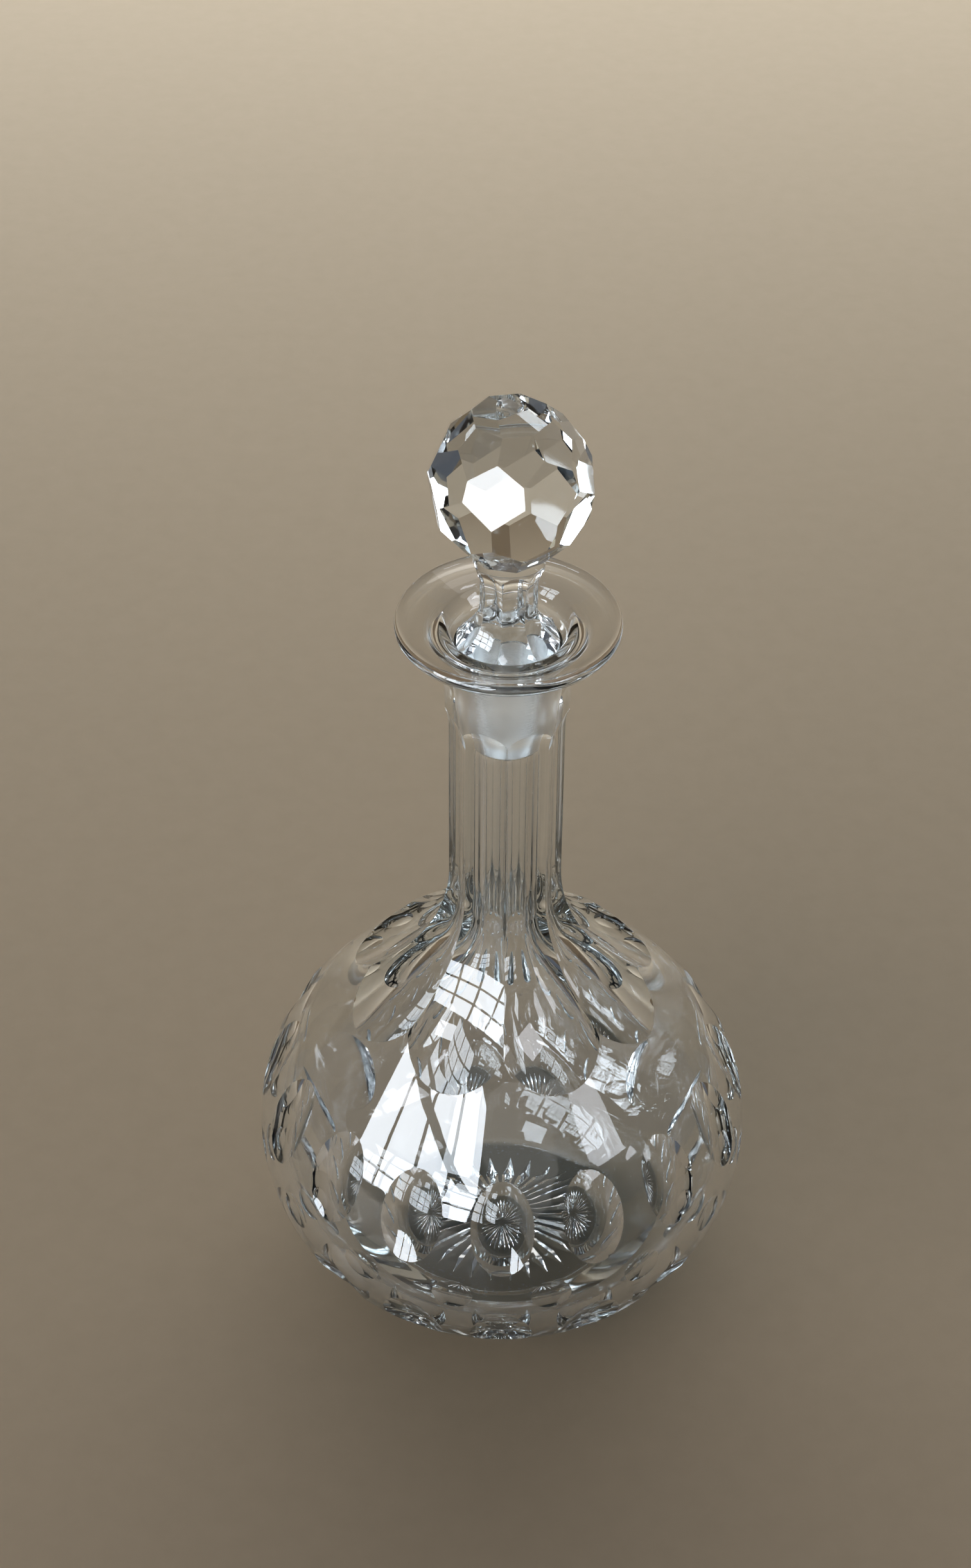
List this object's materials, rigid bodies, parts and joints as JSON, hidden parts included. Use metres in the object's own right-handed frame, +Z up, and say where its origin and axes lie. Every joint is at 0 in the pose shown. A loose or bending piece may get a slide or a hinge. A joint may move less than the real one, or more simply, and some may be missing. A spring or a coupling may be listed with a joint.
{
  "type": "glass bottle with stopper",
  "caption": "Clear cut-glass bottle with a globe body, fluted neck, flat collar lip and a ground-in faceted ball stopper.",
  "frame": {"origin": "centre of the foot, on the plane the bottle stands on", "axes": "+Z up along the bottle's axis of turning; -Y is the front, where an arris of the neck's flutes faces; +X to the right"},
  "size_m": [0.1, 0.1, 0.2069],
  "materials": {
    "bottle_glass": "polished clear lead crystal, ground matt in the neck's seat",
    "stopper_glass": "polished clear lead crystal, ground matt on the plug"
  },
  "bodies": {
    "bottle": {"bottle": "bottle_glass"},
    "stopper": {"stopper": "stopper_glass"}
  },
  "joints": [
    {"name": "stopper_lift", "type": "slide", "parent": "bottle", "child": "stopper", "axis": [0, 0, 1], "range_m": [0, 0.045]}
  ]
}
